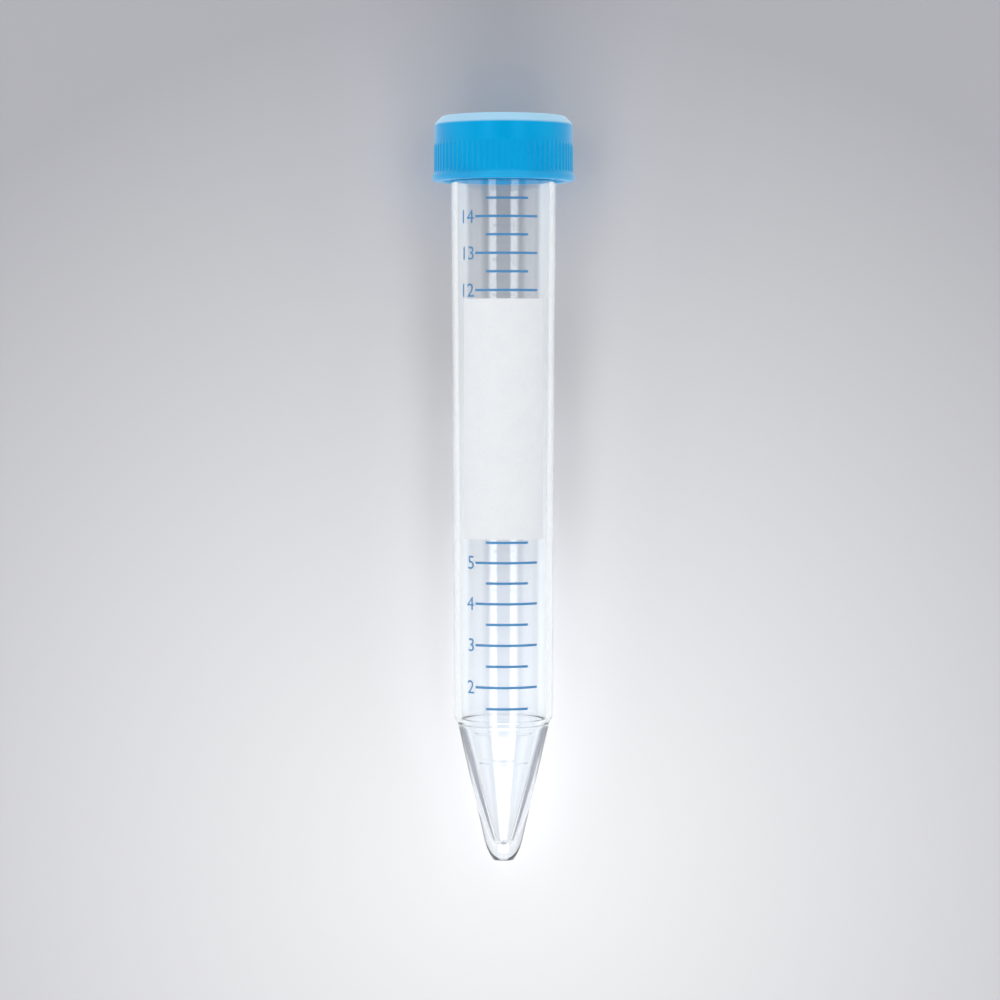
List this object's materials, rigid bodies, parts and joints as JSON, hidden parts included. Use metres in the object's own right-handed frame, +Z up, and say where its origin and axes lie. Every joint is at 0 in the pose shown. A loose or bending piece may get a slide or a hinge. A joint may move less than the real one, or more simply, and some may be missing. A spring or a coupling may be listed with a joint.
{
  "type": "conical centrifuge tube",
  "caption": "Clear conical laboratory tube with printed graduations, a writing patch and a ribbed screw cap, lying on its side.",
  "frame": {"origin": "on the surface the tube lies on, under the middle of its length", "axes": "+Y along the tube from its tip to its cap, climbing 2.3 degrees; +Z up from the surface, through the printed scale"},
  "size_m": [0.0226, 0.1194, 0.0227],
  "materials": {
    "clear_polystyrene": "clear, glossy",
    "blue_polyethylene": "satin",
    "blue_ink": "satin print",
    "white_ink": "satin print"
  },
  "bodies": {
    "tube": {"tube": "clear_polystyrene"},
    "cap": {"cap": "blue_polyethylene"}
  },
  "joints": [
    {"name": "cap_lift", "type": "slide", "parent": "tube", "child": "cap", "axis": [0, 0.9992, 0.0399], "range_m": [0, 0.025]}
  ]
}
